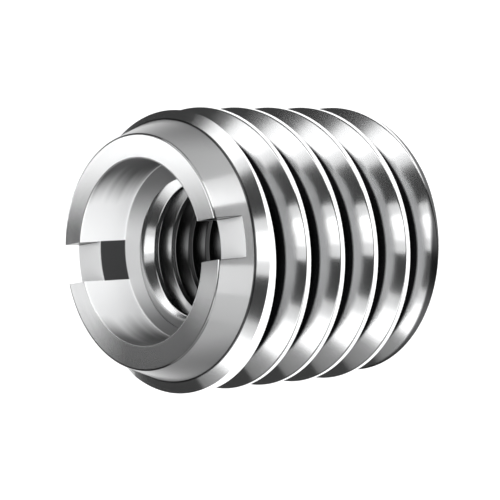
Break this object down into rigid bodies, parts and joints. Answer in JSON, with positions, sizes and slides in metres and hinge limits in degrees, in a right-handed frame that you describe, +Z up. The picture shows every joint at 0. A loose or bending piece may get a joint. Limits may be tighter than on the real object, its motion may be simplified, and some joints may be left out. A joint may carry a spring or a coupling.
{
  "type": "threaded insert",
  "caption": "One-piece solid-wall threaded insert with a coarse outside thread, a fine inside thread and a slotted, tapered driving end.",
  "frame": {"origin": "centre of the plain end face, which the insert stands on", "axes": "+Z up the common axis of both threads, towards the slotted end; +X along the driver slot"},
  "size_m": [0.0112, 0.0112, 0.0111],
  "materials": {
    "bright_steel": "bright turned and polished steel, darker in the thread roots"
  },
  "bodies": {
    "root": {"threaded_insert": "bright_steel"}
  },
  "joints": []
}
